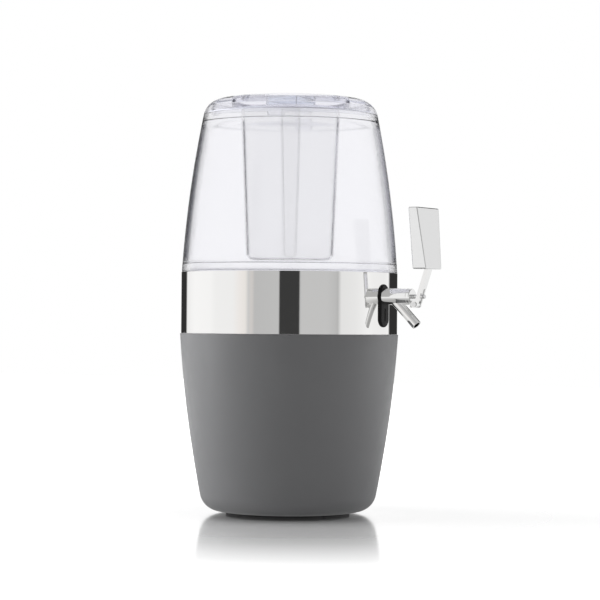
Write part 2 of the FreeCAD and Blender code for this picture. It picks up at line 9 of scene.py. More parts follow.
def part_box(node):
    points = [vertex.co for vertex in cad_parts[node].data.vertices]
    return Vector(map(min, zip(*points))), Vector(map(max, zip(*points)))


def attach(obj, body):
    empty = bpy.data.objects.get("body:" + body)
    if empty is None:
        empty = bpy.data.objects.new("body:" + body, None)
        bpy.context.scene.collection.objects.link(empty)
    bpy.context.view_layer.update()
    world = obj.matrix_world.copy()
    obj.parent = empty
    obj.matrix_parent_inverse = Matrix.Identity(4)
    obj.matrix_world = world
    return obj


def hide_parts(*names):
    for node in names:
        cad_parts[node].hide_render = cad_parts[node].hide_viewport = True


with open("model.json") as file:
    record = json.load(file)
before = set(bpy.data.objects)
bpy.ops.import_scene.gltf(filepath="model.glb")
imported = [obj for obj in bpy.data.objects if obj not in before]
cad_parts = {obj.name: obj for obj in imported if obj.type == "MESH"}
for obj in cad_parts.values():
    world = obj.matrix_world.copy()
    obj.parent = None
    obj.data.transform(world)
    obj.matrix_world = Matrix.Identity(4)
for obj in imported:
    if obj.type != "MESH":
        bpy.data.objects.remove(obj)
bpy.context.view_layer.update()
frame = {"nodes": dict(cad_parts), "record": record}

# The object's lengths are in millimetres until they reach a mesh, and MM takes them to metres
MM = 0.001
ROUND = 2 * math.pi
X, Y, Z = 0, 1, 2
UP = Vector((0, 0, 1))


def low(name, axis):
    """The lowest place of a CAD node along an axis."""
    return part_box(name)[0][axis] / MM


def high(name, axis):
    """The highest place of a CAD node along an axis."""
    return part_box(name)[1][axis] / MM


# Levels, radii and the tap's distances in front of the axis, which run along -Y
UNDERSIDE = low("stand_shell", Z)
RIM = high("stand_shell", Z)
RIM_R = high("stand_shell", X)
FOOT_R = high("foot_ring", X)
FOOT_TOP = high("foot_ring", Z)
BAND_R = high("chrome_band", X)
BAND_LOW = low("chrome_band", Z)
BAND_TOP = high("chrome_band", Z)
DOME_LOW = low("clear_dome", Z)
DOME_R = high("clear_dome", X)
DOME_TOP = high("clear_dome", Z)
LID_LOW = low("lid_cover", Z)
LID_TOP = high("lid_cover", Z)
TUBE_LOW = low("ice_tube", Z)
TUBE_TOP = high("ice_tube", Z)
FLANGE_R = high("ice_tube", X)
CAP_LOW = low("ice_cap", Z)
CAP_TOP = high("ice_cap", Z)
CAP_RING_LOW = low("cap_ring", Z)
CAP_RING_TOP = high("cap_ring", Z)
CORE_LOW = low("ice_core", Z)
CORE_R = high("ice_core", X)
GRIP_LOW = low("grip_block", Z)
GRIP_TOP = high("grip_block", Z)
GRIP_HALF_X = high("grip_block", X)
GRIP_HALF_Y = high("grip_block", Y)
TAP_R = high("tap_body", X)
TAP_Z = high("tap_body", Z) - TAP_R
TAP_END = -low("tap_body", Y)
TAP_START = -low("tap_escutcheon", Y)
SHANK_END = -high("tap_body", Y)
NUT_BACK = -high("tap_nut", Y)
NUT_FRONT = -low("tap_nut", Y)
PADDLE_LOW = low("lever_paddle", Z)
PADDLE_TOP = high("lever_paddle", Z)
PADDLE_FRONT = -low("lever_paddle", Y)
PADDLE_BACK = -high("lever_paddle", Y)
PADDLE_HALF = high("lever_paddle", X)

# Stand and foot ring, whose notches are turned from the tap's side
STAND_WALL = 3.0
STAND_TOE_R = 84.5
STAND_BULGE = 3.3
STAND_CORNER = 19.5
FOOT_WIDTH = 7.0
FOOT_SEAT = 1.0
NOTCH_COUNT = 3
NOTCH_TURN = math.radians(-24.5)
NOTCH_HALF = 2.5
NOTCH_DEPTH = 1.6

# Band, with the hole for the tap's shank. A name that ends in CUT is a cutting rod's length.
BAND_T = 0.8
BAND_ROWS = 16
SHANK_R = 6.0
SHANK_HOLE_R = 6.2
HOLE_CUT = 30.0

# Dome
DOME_TOP_R = 87.2
DOME_BULGE = 2.7
DOME_WALL = 3.0
FLANGE_HEIGHT = 8.1
FLANGE_WIDTH = 7.3
LIP_R = 103.9
LIP_WALL = 2.5
NECK_R = 80.3
NECK_HEIGHT = 8.0

# Lid, with its plug, its lugs turned from +X, and the collar and ledge that carry the ice tube
LID_DRAFT = 3.6
LID_ROUND = 19.5
LID_WALL = 3.0
PLUG_R = 79.8
PLUG_WALL = 2.5
PLUG_DEPTH = 3.4
LUG_COUNT = 4
LUG_TURN = math.radians(112)
LUG_HALF = 8.5
COLLAR_R = 56.5
COLLAR_WALL = 2.5
LEDGE_R = 50.0
LEDGE_T = 2.5
FLANGE_T = 2.5
LEDGE_TOP = TUBE_TOP - FLANGE_T

# Ice tube, its cap, its core and the grip block
TUBE_R = 49.0
TUBE_FOOT_R = 43.2
TUBE_WALL = 2.0
TUBE_CORNER = 9.0
GROOVE_IN_R = 51.75
GROOVE_OUT_R = 53.75
GROOVE_DEPTH = 1.0
CAP_T = 2.5
CAP_WALL = 2.5
CAP_PLUG_R = 46.2
CAP_PLUG_WALL = 2.5
CORE_FOOT_R = 6.4
CORE_WALL = 1.5
GRIP_WALL = 2.5
GRIP_ROUND = 3.0

# Tap body, with its threaded shank. The crest of a ridge is given in shares of the pitch.
INLET_R = 2.8
CHAMBER_R = 5.5
CHAMBER_START = 2.5
CHAMBER_CUT = 40.0
TAP_RING_BACK = 2.6
TAP_RING_WIDTH = 0.6
TAP_RING_DEPTH = 0.4
THREAD_PITCH = 1.5
THREAD_DEPTH = 0.45
THREAD_CREST = (0.45, 0.55)
THREAD_LEAD = 0.6
THREAD_STOP = 6.0
SHANK_PLAIN = 5.0

# Nut
NUT_SIDES = 6
NUT_FLATS = 22.0
NUT_CHAMFER = 0.8
NUT_TRIM = 1.0

# Spout, whose axis is turned about X from straight up to down and forward
SPOUT_SLANT = math.radians(135)
SPOUT_START = 7.5
SPOUT_R = 4.8
SPOUT_ROOT_R = 5.1
SPOUT_ROOT = 17.5
SPOUT_CLIP = 6.5
SPOUT_REACH = 39.0
SPOUT_PASSAGE_R = 3.0
SPOUT_BORE_R = 3.5
SPOUT_CUT = 25.0

# Paddle
PADDLE_FOOT_HALF = 15.75
PADDLE_FOOT_T = 15.2
PADDLE_TOP_T = 10.0

# A gap between touching pieces, and the bulge of a side that is all but straight
HAIR = 0.05
STRAIGHT = 0.005

# How finely the meshes are divided: faces round a turned piece, and steps along an arc
SEGMENTS = 240
NOTCHED_SEGMENTS = 480
BAND_SEGMENTS = 360
TAP_SEGMENTS = 128
SLIM_SEGMENTS = 96
HOLE_SEGMENTS = 48
NUT_SEGMENTS = 12 * NUT_SIDES
SIDE_STEPS = 40
CORNER_STEPS = 14
SHOULDER_STEPS = 12
GRIP_STEPS = 8

# Vertices nearer than this are one, and edges shorter than this go, in metres
MERGE = 1e-7
NO_LENGTH = 1e-8

# Edges that turn by more than this are marked as sharp and rounded
SHARP = math.radians(35)

# Widths of the rounded edges of the CAD nodes that are shown as they are
CAD_ROUNDS = {
    "dome_seal": 0.2,
    "lid_gasket": 0.2,
    "tube_gasket": 0.2,
    "cap_ring": 0.2,
    "tap_washer": 0.3,
    "tap_bonnet": 0.2,
    "stem_seal": 0.1,
    "lever_pin": 0.15,
    "stem_pin": 0.1,
    "valve_stem": 0.1,
    "valve_plug": 0.2,
    "lever_bar": 0.3,
}
CAD_ROUND_SEGMENTS = 2

# Moulded plastics and rubbers: a dark and a pale tone, the range of the roughness, the scales
# of the fine grain and of the slow changes in waves per metre, the grain's depth in metres, and
# the gloss level where it isn't the plain one
MOULDED = {
    "stand_grey": dict(
        dark=(0.112, 0.113, 0.116), pale=(0.12, 0.121, 0.124), rough=(0.36, 0.42),
        grain=2600, coarse=30, depth=2e-5,
    ),
    "foot_rubber": dict(
        dark=(0.012, 0.012, 0.012), pale=(0.02, 0.02, 0.02), rough=(0.6, 0.75),
        grain=1500, coarse=60, depth=3e-5,
    ),
    "base_plastic": dict(
        dark=(0.72, 0.72, 0.73), pale=(0.76, 0.76, 0.77), rough=(0.3, 0.4),
        grain=1800, coarse=25, depth=1e-5,
    ),
    "clear_silicone": dict(
        dark=(0.62, 0.63, 0.66), pale=(0.68, 0.69, 0.72), rough=(0.4, 0.5),
        grain=900, coarse=50, depth=1e-5,
    ),
    "black_plastic": dict(
        dark=(0.005, 0.005, 0.005), pale=(0.008, 0.008, 0.008), rough=(0.3, 0.4),
        grain=1200, coarse=60, depth=5e-6, shine=0.12,
    ),
    "black_rubber": dict(
        dark=(0.012, 0.012, 0.012), pale=(0.018, 0.018, 0.018), rough=(0.55, 0.7),
        grain=1600, coarse=60, depth=2e-5,
    ),
}
MOULDED_SHINE = 0.5

# Metals: the colour, the range of the roughness, the scale of the fine marks in waves per
# metre, their depth in metres, and how they are stretched where they are streaks
CHROME = (0.9, 0.9, 0.895)
METALS = {
    "band_steel": dict(
        colour=(0.92, 0.915, 0.905), rough=(0.02, 0.05), scale=900, depth=5e-7, streak=(1, 1, 0.15),
    ),
    "tap_chrome": dict(colour=CHROME, rough=(0.03, 0.07), scale=500, depth=1e-6),
    "spout_chrome": dict(colour=CHROME, rough=(0.03, 0.07), scale=500, depth=1e-6),
    "bonnet_chrome": dict(colour=CHROME, rough=(0.05, 0.09), scale=500, depth=1e-6),
    "lever_chrome": dict(colour=CHROME, rough=(0.06, 0.11), scale=400, depth=1e-6),
    "paddle_chromed": dict(colour=(0.8, 0.8, 0.8), rough=(0.1, 0.16), scale=300, depth=1e-6),
    "pin_steel": dict(colour=(0.75, 0.75, 0.75), rough=(0.12, 0.2), scale=800, depth=1e-6),
    "nut_steel": dict(
        colour=(0.62, 0.61, 0.6), rough=(0.22, 0.34), scale=500, depth=3e-6, streak=(1, 8, 1),
    ),
    "spring_steel": dict(
        colour=(0.6, 0.6, 0.6), rough=(0.2, 0.3), scale=500, depth=2e-6, streak=(1, 6, 1),
    ),
    "stem_steel": dict(
        colour=(0.7, 0.7, 0.7), rough=(0.12, 0.2), scale=500, depth=2e-6, streak=(1, 6, 1),
    ),
}

# Clear plastics: the tint, the range of the roughness, the index of refraction, and the scale
# in waves per metre and the depth in metres of the surface's slow waves
CLEARS = {
    "clear_plastic": dict(tint=(0.94, 0.94, 0.958), rough=(0.06, 0.1), ior=1.49, wave=18, depth=1e-4),
    "lid_plastic": dict(tint=(0.935, 0.935, 0.955), rough=(0.05, 0.1), ior=1.14, wave=25, depth=2e-5),
    "tube_plastic": dict(tint=(0.955, 0.955, 0.956), rough=(0.06, 0.1), ior=1.06, wave=20, depth=6e-5),
    "cap_plastic": dict(tint=(0.97, 0.97, 0.98), rough=(0.05, 0.1), ior=1.05, wave=25, depth=1e-5),
    "core_plastic": dict(tint=(0.985, 0.985, 0.985), rough=(0.15, 0.2), ior=1.035, wave=25, depth=4e-5),
    "grip_plastic": dict(tint=(0.93, 0.95, 0.98), rough=(0.0, 0.03), ior=1.49, wave=30, depth=4e-5),
}

# Noise: unstretched, the part of its range that is used, its detail by use, and how much finer
# than the tone or the waves the changes of the roughness are
EVEN = (1, 1, 1)
NOISE_RANGE = (0.3, 0.7)
PLAIN_DETAIL = 2.0
GRAIN_DETAIL = 3.0
MARK_DETAIL = 4.0
MOULDED_GLOSS_FINER = 3
CLEAR_GLOSS_FINER = 4

# Camera at the photograph's viewing angle: places and its range of sight in metres, lens and
# sensor in millimetres
CAMERA_TURN = math.radians(-58)
CAMERA_ROLL = math.radians(0.43)
CAMERA_DISTANCE = 2.2
CAMERA_HEIGHT = 0.1926
AIM_HEIGHT = 0.2126
AIM_RIGHT = 0.0106
LENS = 132.0
SENSOR = 36.0
SIGHT = 50.0
TO_CAMERA = Vector((math.sin(CAMERA_TURN), -math.cos(CAMERA_TURN), 0))
RIGHT = Vector((math.cos(CAMERA_TURN), math.sin(CAMERA_TURN), 0))

# Lamps: name, degrees to the right of the camera's side, side of the square in metres, watts
LAMPS = (
    ("left_lamp", -100, 1.4, 60),
    ("right_lamp", 105, 1.2, 22),
)
LAMP_HEIGHT = 0.6
LAMP_DISTANCE = 1.6

# How often light may be passed on, so that it gets through dome, tube and core, twice each
BOUNCES = 24
GLOSSY_BOUNCES = 8

# Floor, as levels by the distance from the axis in metres: the light added to it where the
# camera sees it, the share of its mirror image, and its level in reflections, which is a painted
# glow that is dimmer near the axis as painted shade
FLOOR_HALF = 4000.0
FLOOR_TONE = 0.8
FLOOR_ROUGH = (0.1, 0.13)
FLOOR_WAVES = 6
FLOOR_LIFT = ((0.0, 0.3), (0.5, 0.38), (0.9, 0.95), (1.3, 1.0))
FLOOR_SHEEN = (
    (0.0, 0.97),
    (0.088, 0.97),
    (0.13, 0.82),
    (0.163, 0.77),
    (0.238, 0.74),
    (0.308, 0.64),
    (0.374, 0.48),
    (0.43, 0.34),
    (0.477, 0.18),
    (0.5, 0.0),
)
FLOOR_GLOW = ((0.0, 0.35), (0.2, 0.45), (0.6, 0.8), (1.2, 1.0))

# Studio cards that metal mirrors, as levels by degrees to the right of the camera's side,
# and the light above them, by degrees of height
CARDS = (
    (-180, 0.97),
    (-173, 0.97),
    (-170, 0.03),
    (-141.5, 0.03),
    (-138.5, 0.9),
    (-120, 1.0),
    (-92, 0.98),
    (-84, 0.93),
    (-62, 0.92),
    (-54, (0.9, 0.87, 0.85)),
    (-47, (0.86, 0.83, 0.8)),
    (-43.5, 0.62),
    (-40, (0.67, 0.64, 0.62)),
    (-36.7, 0.53),
    (-10.5, 0.55),
    (-10, 0.045),
    (10.8, 0.045),
    (11.3, 0.58),
    (40, 0.58),
    (49, 0.54),
    (52, 0.5),
    (56, 0.82),
    (74, 0.86),
    (92, 0.95),
    (100, 0.92),
    (120, 0.9),
    (130, 0.95),
    (133, 0.03),
    (168, 0.03),
    (171, 0.97),
    (180, 0.97),
)
OVERHEAD = ((0, 0.9), (12, 0.88), (24, 0.8), (36, 0.42), (50, 0.4), (62, 0.55), (90, 0.5))
CARD_FADE = (36.0, 50.0)

# From its second mirroring on, metal shows one even grey. Ray Depth counts the background too.
SECOND_MIRROR = 0.5
SECOND_DEPTH = 2.5

# Cards seen through clear plastic: a low and a high row, and the light above them, with the
# degrees of height between which each gives way to the next
THROUGH_CARDS = (
    (-180, 1.05),
    (-170, 1.05),
    (-164, (0.015, 0.015, 0.03)),
    (-144, (0.015, 0.015, 0.03)),
    (-138, 1.0),
    (-100, 0.95),
    (100, 0.95),
    (143, 1.0),
    (148, (0.03, 0.03, 0.06)),
    (164, (0.03, 0.03, 0.06)),
    (170, 1.05),
    (180, 1.05),
)
THROUGH_HIGH = (
    (-180, 1.05),
    (-171, 1.05),
    (-166, (0.03, 0.03, 0.05)),
    (-144, (0.03, 0.03, 0.05)),
    (-138, 1.0),
    (-100, 0.9),
    (100, 0.95),
    (143, 1.0),
    (148, (0.5, 0.5, 0.56)),
    (164, (0.5, 0.5, 0.56)),
    (171, 1.05),
    (180, 1.05),
)
THROUGH_OVERHEAD = ((0, 1.0), (10, 1.0), (30, (0.9, 0.9, 0.94)), (90, (0.8, 0.8, 0.86)))
THROUGH_RISE = (1.6, 4.2)
THROUGH_FADE = (7.0, 16.0)

# The world's light on everything that isn't mirrored or seen through
AMBIENT = 0.5

# Sockets of the Mix node for colours
MIX_FACTOR = 0
MIX_FIRST = 6
MIX_SECOND = 7
MIX_RESULT = 2


def placed(name, data):
    """A new object in the scene."""
    made = bpy.data.objects.new(name, data)
    bpy.context.scene.collection.objects.link(made)
    return made


def looking(place, aim):
    """The matrix of a camera or a lamp that looks from one place at another."""
    turn = (aim - place).to_track_quat("-Z", "Y").to_matrix().to_4x4()
    return Matrix.Translation(place) @ turn


def add_camera():
    """The camera at the photograph's angle, with its slight roll."""
    data = bpy.data.cameras.new("camera")
    data.sensor_width = SENSOR
    data.lens = LENS
    data.clip_end = SIGHT
    camera = placed("camera", data)
    place = TO_CAMERA * CAMERA_DISTANCE + UP * CAMERA_HEIGHT
    aim = RIGHT * AIM_RIGHT + UP * AIM_HEIGHT
    camera.matrix_world = looking(place, aim) @ Matrix.Rotation(CAMERA_ROLL, 4, "Z")
    bpy.context.scene.camera = camera


def add_lamp(name, turn, size, power):
    """A square lamp aimed at the object's middle. Metal and clear plastic don't show it."""
    data = bpy.data.lights.new(name, "AREA")
    data.size = size
    data.energy = power
    lamp = placed(name, data)
    lamp.visible_glossy = False
    lamp.visible_transmission = False
    angle = math.radians(turn)
    side = TO_CAMERA * math.cos(angle) + RIGHT * math.sin(angle)
    lamp.matrix_world = looking(side * LAMP_DISTANCE + UP * LAMP_HEIGHT, UP * AIM_HEIGHT)


def set_light_paths():
    """Lets light pass through all the clear walls."""
    cycles = bpy.context.scene.cycles
    cycles.max_bounces = BOUNCES
    cycles.transmission_bounces = BOUNCES
    cycles.transparent_max_bounces = BOUNCES
    cycles.glossy_bounces = GLOSSY_BOUNCES


def feed(tree, socket, value):
    """Links a value to a socket, or sets the socket to it."""
    if isinstance(value, bpy.types.NodeSocket):
        tree.links.new(value, socket)
    else:
        socket.default_value = value


def node(tree, kind, settings=None, **inputs):
    """A shader node with attributes from settings and values or links for its inputs."""
    made = tree.nodes.new(kind)
    for name, value in (settings or {}).items():
        setattr(made, name, value)
    for name, value in inputs.items():
        feed(tree, made.inputs[name.replace("_", " ")], value)
    return made


def ordered_node(tree, kind, values, settings=None):
    """A shader node whose inputs are given in the order of its sockets."""
    made = node(tree, kind, settings)
    for socket, value in zip(made.inputs, values):
        feed(tree, socket, value)
    return made


def computed(tree, operation, *values, kind="ShaderNodeMath"):
    """The value of a Math node, or of a Vector Math node."""
    return ordered_node(tree, kind, values, {"operation": operation}).outputs["Value"]


def ranged(tree, value, start, end):
    """A value taken from the range start to the range end, and held at its ends."""
    made = node(
        tree, "ShaderNodeMapRange",
        Value=value, From_Min=start[0], From_Max=start[1], To_Min=end[0], To_Max=end[1],
    )
    return made.outputs["Result"]


def colour_of(level):
    """A colour with its alpha, from a colour or from a level of grey."""
    tone = level if isinstance(level, tuple) else (level, level, level)
    return (*tone, 1)


def ramp(tree, value, stops):
    """A colour read from (position, level) stops, and held beyond the first and the last."""
    first = stops[0][0]
    last = stops[-1][0]
    share = ranged(tree, value, (first, last), (0, 1))
    made = node(tree, "ShaderNodeValToRGB", Fac=share)
    elements = made.color_ramp.elements
    while len(elements) < len(stops):
        elements.new(0.5)
    for element, (position, level) in zip(elements, stops):
        element.position = (position - first) / (last - first)
        element.color = colour_of(level)
    return made.outputs["Color"]


def blended(tree, factor, first, second):
    """The first colour or grey where the factor is 0, and the second where it is 1."""
    made = node(tree, "ShaderNodeMix", {"data_type": "RGBA"})
    feed(tree, made.inputs[MIX_FACTOR], factor)
    for socket, value in ((MIX_FIRST, first), (MIX_SECOND, second)):
        linked = isinstance(value, bpy.types.NodeSocket)
        feed(tree, made.inputs[socket], value if linked else colour_of(value))
    return made.outputs[MIX_RESULT]


def either(tree, factor, first, second):
    """The first shader where the factor is 0, and the second where it is 1."""
    return ordered_node(tree, "ShaderNodeMixShader", (factor, first, second)).outputs["Shader"]


def noise(tree, scale, detail=PLAIN_DETAIL, stretch=EVEN):
    """Noise over the object's own coordinates, with its scale in waves per metre."""
    place = node(tree, "ShaderNodeTexCoord").outputs["Object"]
    mapped = node(tree, "ShaderNodeMapping", Vector=place, Scale=stretch).outputs["Vector"]
    made = node(tree, "ShaderNodeTexNoise", Vector=mapped, Scale=scale, Detail=detail)
    return made.outputs["Fac"]


def uneven(tree, waves, limits):
    """A roughness that changes between two limits with a noise."""
    return ranged(tree, waves, NOISE_RANGE, limits)


def bump(tree, height, depth):
    """The normal of a surface with this relief, whose depth is in metres."""
    made = node(tree, "ShaderNodeBump", Height=height, Distance=depth, Strength=1.0)
    return made.outputs["Normal"]


def new_material(name):
    """A material without nodes, and its tree."""
    material = bpy.data.materials.new(name)
    material.use_nodes = True
    material.node_tree.nodes.clear()
    return material, material.node_tree


def finish_with(tree, shader):
    """Makes a shader the material's surface."""
    node(tree, "ShaderNodeOutputMaterial", Surface=shader)


def moulded(name, dark, pale, rough, grain, coarse, depth, shine=MOULDED_SHINE):
    """Moulded plastic or rubber: two near tones, a fine grain and uneven gloss."""
    material, tree = new_material(name)
    made = node(
        tree, "ShaderNodeBsdfPrincipled",
        Base_Color=blended(tree, noise(tree, coarse), dark, pale),
        Roughness=uneven(tree, noise(tree, coarse * MOULDED_GLOSS_FINER), rough),
        Normal=bump(tree, noise(tree, grain, GRAIN_DETAIL), depth),
        Specular_IOR_Level=shine,
    )
    finish_with(tree, made.outputs["BSDF"])
    return material


def metal(name, colour, rough, scale, depth, streak=EVEN):
    """Polished or brushed metal, whose fine marks can be streaks."""
    material, tree = new_material(name)
    marks = noise(tree, scale, MARK_DETAIL, streak)
    made = node(
        tree, "ShaderNodeBsdfPrincipled",
        Base_Color=colour_of(colour),
        Metallic=1.0,
        Roughness=uneven(tree, marks, rough),
        Normal=bump(tree, marks, depth),
    )
    finish_with(tree, made.outputs["BSDF"])
    return material


def clear(name, tint, rough, ior, wave, depth):
    """Clear moulded plastic that lets the lamps' light through."""
    material, tree = new_material(name)
    made = node(
        tree, "ShaderNodeBsdfPrincipled",
        Base_Color=colour_of(tint),
        Transmission_Weight=1.0,
        IOR=ior,
        Roughness=uneven(tree, noise(tree, wave * CLEAR_GLOSS_FINER), rough),
        Normal=bump(tree, noise(tree, wave), depth),
    )
    film = node(tree, "ShaderNodeBsdfTransparent", Color=colour_of(tint))
    shadow = node(tree, "ShaderNodeLightPath").outputs["Is Shadow Ray"]
    finish_with(tree, either(tree, shadow, made.outputs["BSDF"], film.outputs["BSDF"]))
    return material


def make_materials():
    """Every material, by the name of its slot in the record."""
    made = {}
    for make, looks in ((moulded, MOULDED), (metal, METALS), (clear, CLEARS)):
        for name, look in looks.items():
            made[name] = make(name, **look)
    return made


# The materials, and the slot and the body of each node
MATERIALS = make_materials()
SLOTS = {part["node"]: part["material_slot"] for part in frame["record"]["subparts"]}
BODY_OF = {n: body for body, ns in frame["record"]["behaviour"]["bodies"].items() for n in ns}


def soften(piece, width, segments):
    """Rounds the piece's sharp edges by width."""
    edge = piece.modifiers.new("edges", "BEVEL")
    edge.width = width * MM
    edge.segments = segments
    edge.limit_method = "ANGLE"
    edge.angle_limit = SHARP
    edge.harden_normals = True


def dress_cad_nodes():
    """Gives every CAD node its material, and rounds the edges of those that stay in view."""
    for name, shown in frame["nodes"].items():
        shown.data.materials.clear()
        shown.data.materials.append(MATERIALS[SLOTS[name]])
        if name in CAD_ROUNDS:
            soften(shown, CAD_ROUNDS[name], CAD_ROUND_SEGMENTS)


def show(mesh, node_name):
    """Puts a mesh in the place of a CAD node, on that node's body."""
    piece = placed(node_name + "_skin", mesh)
    mesh.materials.append(MATERIALS[SLOTS[node_name]])
    for face in mesh.polygons:
        face.use_smooth = True
    mesh.set_sharp_from_angle(angle=SHARP)
    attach(piece, BODY_OF[node_name])
    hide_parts(node_name)
    return piece


def mesh_from(name, build):
    """A mesh from a function that fills a bmesh, with its faces turned outward."""
    work = bmesh.new()
    build(work)
    bmesh.ops.recalc_face_normals(work, faces=work.faces)
    mesh = bpy.data.meshes.new(name)
    work.to_mesh(mesh)
    work.free()
    return mesh


def row(work, points):
    """New vertices at points (x, y, z)."""
    return [work.verts.new([length * MM for length in point]) for point in points]


def strip(work, first, second, closed=True):
    """Joins two rows of vertices by faces. The rows are rings if they are closed."""
    count = len(first)
    for step in range(count if closed else count - 1):
        after = (step + 1) % count
        work.faces.new((first[step], second[step], second[after], first[after]))


def lathe(name, outline, segments=SEGMENTS, closed=True):
    """A mesh turned about Z. outline is a list of (r, z), or a function of the angle."""
    at_angle = outline if callable(outline) else lambda angle: outline

    def build(work):
        columns = []
        for step in range(segments):
            angle = ROUND * step / segments
            points = [(r * math.cos(angle), r * math.sin(angle), z) for r, z in at_angle(angle)]
            columns.append(row(work, points))
        for index, column in enumerate(columns):
            strip(work, column, columns[(index + 1) % segments], closed)
        bmesh.ops.remove_doubles(work, verts=work.verts, dist=MERGE)
        bmesh.ops.dissolve_degenerate(work, edges=work.edges, dist=NO_LENGTH)

    return mesh_from(name, build)


def arc(centre, radius, start, end, steps):
    """Points (r, z) on an arc, with angles in degrees."""
    points = []
    for step in range(steps + 1):
        angle = math.radians(start + (end - start) * step / steps)
        out = radius * math.cos(angle)
        points.append((centre[0] + out, centre[1] + radius * math.sin(angle)))
    return points


def bowed_side(foot, head, bulge, corner=0.0):
    """Points (r, z) up a bowed side, which starts with a rounded corner if one is given."""
    half = math.dist(foot, head) / 2
    radius = (half * half + bulge * bulge) / (2 * bulge)
    out_r = (head[1] - foot[1]) / (2 * half)
    out_z = -(head[0] - foot[0]) / (2 * half)
    back = radius - bulge
    centre = (
        (foot[0] + head[0]) / 2 - out_r * back,
        (foot[1] + head[1]) / 2 - out_z * back,
    )
    start = math.atan2(foot[1] - centre[1], foot[0] - centre[0])
    end = math.atan2(head[1] - centre[1], head[0] - centre[0])
    points = []
    if corner:
        corner_z = foot[1] + corner
        reach = math.sqrt((radius - corner) ** 2 - (corner_z - centre[1]) ** 2)
        start = math.atan2(corner_z - centre[1], reach)
        corner_centre = (centre[0] + reach, corner_z)
        points = arc(corner_centre, corner, -90, math.degrees(start), CORNER_STEPS)[:-1]
    return points + arc(centre, radius, math.degrees(start), math.degrees(end), SIDE_STEPS)


def off_nearest(angle, first, count):
    """How far an angle is from the nearest of count directions, spread from the first."""
    turn = (angle - first) % (ROUND / count)
    return min(turn, ROUND / count - turn)


def out_of_front(mesh):
    """Turns a mesh made about Z so that its axis is the tap's and +Z points to -Y."""
    lift = Matrix.Translation((0, 0, TAP_Z * MM))
    mesh.transform(lift @ Matrix.Rotation(math.radians(90), 4, "X"))
    return mesh


def bore(radius, start, length, segments):
    """A rod on the tap's axis to cut with, which starts so far in front of the main axis."""
    outline = [(0, 0), (radius, 0), (radius, length), (0, length)]
    mesh = lathe("bore", outline, segments, closed=False)
    mesh.transform(Matrix.Translation((0, 0, start * MM)))
    return out_of_front(mesh)


def carve(piece, cutter_mesh):
    """Cuts a mesh out of a piece."""
    cutter = placed("cutter", cutter_mesh)
    cut = piece.modifiers.new("cut", "BOOLEAN")
    cut.operation = "DIFFERENCE"
    cut.solver = "EXACT"
    cut.object = cutter
    bpy.context.view_layer.update()
    shaped = piece.evaluated_get(bpy.context.evaluated_depsgraph_get())
    mesh = bpy.data.meshes.new_from_object(shaped)
    piece.modifiers.remove(cut)
    old = piece.data
    piece.data = mesh
    bpy.data.meshes.remove(old)
    bpy.data.objects.remove(cutter)
    bpy.data.meshes.remove(cutter_mesh)


def make_stand():
    """The bowl-shaped shell, with a seat for the foot ring in its underside."""
    outer = bowed_side((STAND_TOE_R, UNDERSIDE), (RIM_R, RIM), STAND_BULGE, STAND_CORNER)
    floor = UNDERSIDE + STAND_WALL
    inner = bowed_side(
        (STAND_TOE_R - STAND_WALL, floor),
        (RIM_R - STAND_WALL, RIM),
        STAND_BULGE,
        STAND_CORNER - STAND_WALL,
    )
    seat_top = UNDERSIDE + FOOT_SEAT
    seat = [
        (0, UNDERSIDE),
        (FOOT_R - FOOT_WIDTH, UNDERSIDE),
        (FOOT_R - FOOT_WIDTH, seat_top),
        (FOOT_R, seat_top),
        (FOOT_R, UNDERSIDE),
    ]
    outline = [*seat, *outer, *inner[::-1], (0, floor)]
    return show(lathe("stand", outline, closed=False), "stand_shell")


def make_foot():
    """The ring under the stand, with notches in its outer edge."""
    notch_half = NOTCH_HALF / FOOT_R
    inner = FOOT_R - FOOT_WIDTH

    def outline(angle):
        notched = off_nearest(angle, NOTCH_TURN - math.pi / 2, NOTCH_COUNT) < notch_half
        r = FOOT_R - NOTCH_DEPTH if notched else FOOT_R
        return [
            (inner, 0),
            (r, 0),
            (r, UNDERSIDE),
            (FOOT_R, UNDERSIDE),
            (FOOT_R, FOOT_TOP),
            (inner, FOOT_TOP),
        ]

    return show(lathe("foot", outline, NOTCHED_SEGMENTS), "foot_ring")


def make_band():
    """The polished sheet round the tank, with the hole for the tap's shank."""
    rise = BAND_TOP - BAND_LOW
    levels = [BAND_LOW + rise * step / BAND_ROWS for step in range(BAND_ROWS + 1)]
    outer = [(BAND_R, z) for z in levels]
    inner = [(BAND_R - BAND_T, z) for z in levels[::-1]]
    piece = show(lathe("band", outer + inner, BAND_SEGMENTS), "chrome_band")
    carve(piece, bore(SHANK_HOLE_R, BAND_R - HOLE_CUT / 2, HOLE_CUT, HOLE_SEGMENTS))
    return piece


def make_dome():
    """The tank's clear wall, with its foot flange, the lip in the band and its neck."""
    outer = bowed_side((DOME_R, BAND_TOP), (DOME_TOP_R, DOME_TOP), DOME_BULGE)
    wall = bowed_side(
        (DOME_R - DOME_WALL, BAND_TOP), (DOME_TOP_R - DOME_WALL, DOME_TOP), DOME_BULGE
    )
    flange_top = BAND_TOP + FLANGE_HEIGHT
    flange_low = BAND_TOP + HAIR
    flange_bore = DOME_R - FLANGE_WIDTH
    neck_low = DOME_TOP - NECK_HEIGHT
    inner = [p for p in wall if flange_top < p[1] < neck_low]
    outline = [
        *outer,
        (NECK_R, DOME_TOP),
        (NECK_R, neck_low),
        (inner[-1][0], neck_low),
        *inner[::-1],
        (inner[0][0], flange_top),
        (flange_bore, flange_top),
        (flange_bore, flange_low),
        (LIP_R - LIP_WALL, flange_low),
        (LIP_R - LIP_WALL, DOME_LOW),
        (LIP_R, DOME_LOW),
        (LIP_R, flange_low),
    ]
    return show(lathe("dome", outline), "clear_dome")


